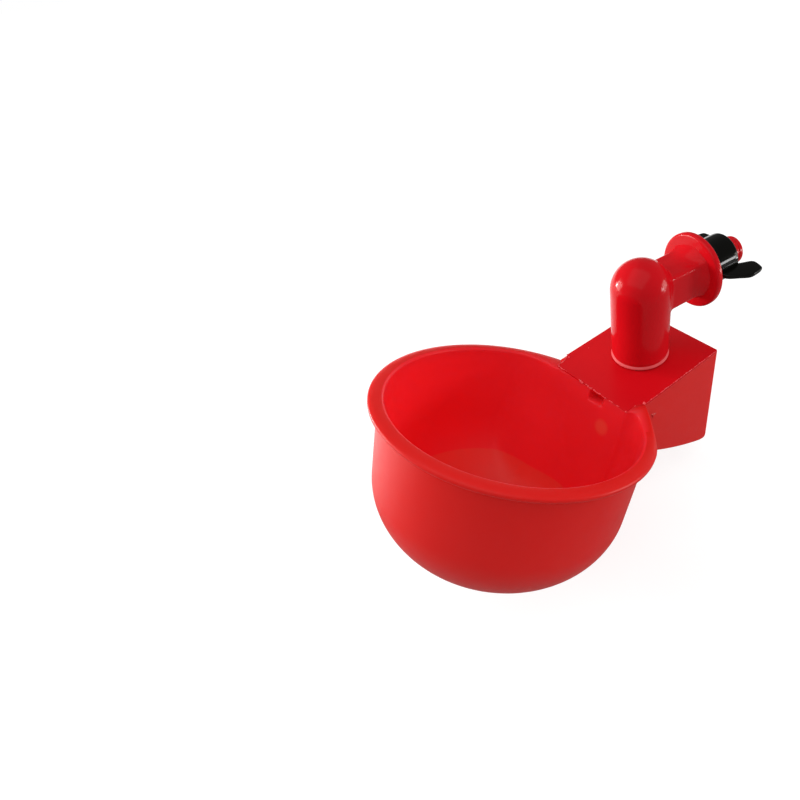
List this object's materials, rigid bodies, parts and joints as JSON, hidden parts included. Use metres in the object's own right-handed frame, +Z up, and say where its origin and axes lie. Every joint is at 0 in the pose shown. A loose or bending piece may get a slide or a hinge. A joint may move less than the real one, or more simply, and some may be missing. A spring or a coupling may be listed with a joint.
{
  "type": "poultry drinking cup",
  "caption": "Red wall-fed drinking cup for poultry: a tilted round bowl with a valve chamber that hangs on a spring from a threaded elbow with a wing nut.",
  "frame": {"origin": "centre of the flange's rear face, on the axis of the threaded spigot, where the wall's outer face is", "axes": "+X along the spigot into the wall, +Z up the stem; the bowl reaches out towards -X and stands 5.9 degrees turned on the stem as in the picture"},
  "size_m": [0.1372, 0.0819, 0.0796],
  "materials": {
    "elbow_plastic": "smooth gloss",
    "rubber": "matt",
    "nut_plastic": "high gloss",
    "cup_plastic": "satin gloss",
    "valve_plastic": "matt",
    "spring_steel": "drawn wire"
  },
  "bodies": {
    "elbow": {"elbow": "elbow_plastic", "sealing_washer": "rubber", "valve_seat": "valve_plastic", "spring": "spring_steel"},
    "hanger": {"thrust_washer": "valve_plastic"},
    "cup": {"cup": "cup_plastic", "lid": "cup_plastic", "valve_rod": "valve_plastic", "valve_seal": "rubber", "rod_seal": "rubber"},
    "wing_nut": {"wing_nut": "nut_plastic"},
    "adjusting_nut": {"adjusting_nut": "nut_plastic"}
  },
  "joints": [
    {"name": "cup_drop", "type": "slide", "parent": "elbow", "child": "hanger", "axis": [0, 0, 1], "range_m": [-0.003, 0], "stiffness_N_per_m": 200, "springref_m": 0.004, "deforming": ["spring"]},
    {"name": "cup_turn", "type": "hinge", "parent": "hanger", "child": "cup", "pos_m": [-0.0227, 0, -0.0224], "axis": [0, 0, 1], "range_deg": [-22, 10]},
    {"name": "wing_nut_turn", "type": "hinge", "parent": "elbow", "child": "wing_nut", "pos_m": [0.0075, 0, 0], "axis": [1, 0, 0], "continuous": true},
    {"name": "adjusting_nut_turn", "type": "hinge", "parent": "cup", "child": "adjusting_nut", "pos_m": [-0.0227, 0, -0.0634], "axis": [0, 0, 1], "continuous": true}
  ]
}
